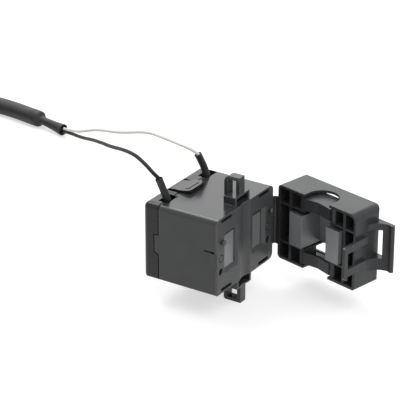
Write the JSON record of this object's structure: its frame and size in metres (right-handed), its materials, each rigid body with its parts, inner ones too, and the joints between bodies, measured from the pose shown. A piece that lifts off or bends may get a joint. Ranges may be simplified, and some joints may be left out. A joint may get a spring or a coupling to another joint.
{
  "type": "split-core current transformer",
  "caption": "Clip-on split-core current transformer: boxy plastic halves on a film hinge, exposed core poles, snap latch, cable-tie loops and sleeved leads to a jacketed cable.",
  "frame": {"origin": "middle of the mating plane between the halves, on the line of the conductor, at half height", "axes": "+Z along the conductor, +Y back into the housing towards the rear cap, +X towards the hinge"},
  "size_m": [0.1532, 0.4178, 0.0673],
  "materials": {
    "black_plastic": "satin dark grey moulded plastic",
    "core": "ground blue-grey magnetic core",
    "nylon": "natural nylon",
    "copper": "enamelled copper wire",
    "foam": "soft cell pad",
    "tin": "tinned crimp",
    "shrink": "matte shrink tubing",
    "black_insulation": "satin insulation",
    "white_insulation": "satin insulation",
    "jacket": "satin cable jacket"
  },
  "bodies": {
    "housing": {"main_housing": "black_plastic", "rear_cap": "black_plastic", "fixed_core": "core", "left_bobbin": "nylon", "right_bobbin": "nylon", "left_winding": "copper", "right_winding": "copper", "core_pad": "foam", "core_clamp": "nylon", "black_splice": "tin", "white_splice": "tin", "film_hinge": "black_plastic", "black_lead_sleeve": "shrink", "white_lead_sleeve": "shrink", "black_lead": "black_insulation", "white_lead": "white_insulation", "junction_sleeve": "shrink", "cable": "jacket", "cable_coil": "jacket", "coil_tie": "nylon"},
    "cover": {"cover_housing": "black_plastic", "cover_core": "core", "cover_pad": "foam"},
    "upper_grip": {"upper_grip": "black_plastic"},
    "lower_grip": {"lower_grip": "black_plastic"}
  },
  "joints": [
    {"name": "cover_hinge", "type": "hinge", "parent": "housing", "child": "cover", "pos_m": [0.02693, 0, 0], "axis": [0, 0, 1], "range_deg": [-76.5, 103.5]},
    {"name": "upper_grip_slide", "type": "slide", "parent": "cover", "child": "upper_grip", "axis": [0.9724, -0.2334, 0], "range_m": [0, 0.005], "stiffness_N_per_m": 200},
    {"name": "lower_grip_slide", "type": "slide", "parent": "cover", "child": "lower_grip", "axis": [0.9724, -0.2334, 0], "range_m": [0, 0.005], "stiffness_N_per_m": 200}
  ]
}
